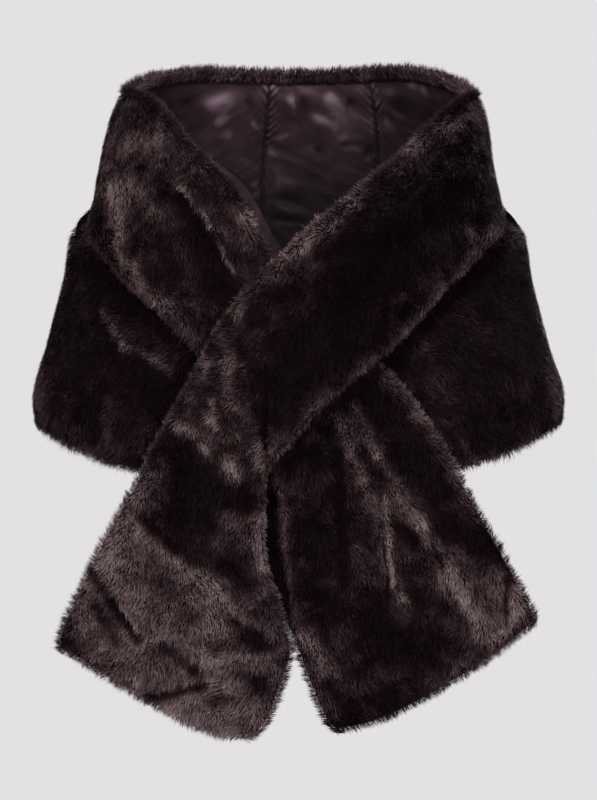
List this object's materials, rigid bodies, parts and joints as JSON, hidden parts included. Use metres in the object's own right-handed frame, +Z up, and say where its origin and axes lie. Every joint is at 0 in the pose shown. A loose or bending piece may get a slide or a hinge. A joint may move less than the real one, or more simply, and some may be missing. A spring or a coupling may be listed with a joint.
{
  "type": "faux-fur stole, a scarf worn as a shoulder wrap",
  "caption": "Plush faux-fur stole filled out as worn: deep back, front drapes over the arms, and bands that cross at the chest into hanging tails, satin lined.",
  "frame": {"origin": "middle of the shoulder line, where the wearer's shoulders hold the stole up", "axes": "+Z up, -Y the way the wearer faces, +X to the right of someone who looks at the front"},
  "size_m": [0.5618, 0.349, 0.7043],
  "materials": {
    "fur": "dense brown-plum plush pile about 11 mm long, silvery where the nap turns to the light",
    "lining": "smooth plum-brown satin with a soft gloss and creases along its seams"
  },
  "bodies": {
    "root": {"back_panel": "fur", "left_band": "fur", "right_band": "fur", "left_tail": "fur", "right_tail": "fur", "left_drape": "fur", "right_drape": "fur", "lining_back_left": "lining", "lining_back_centre": "lining", "lining_back_right": "lining", "lining_left_band": "lining"}
  },
  "joints": []
}
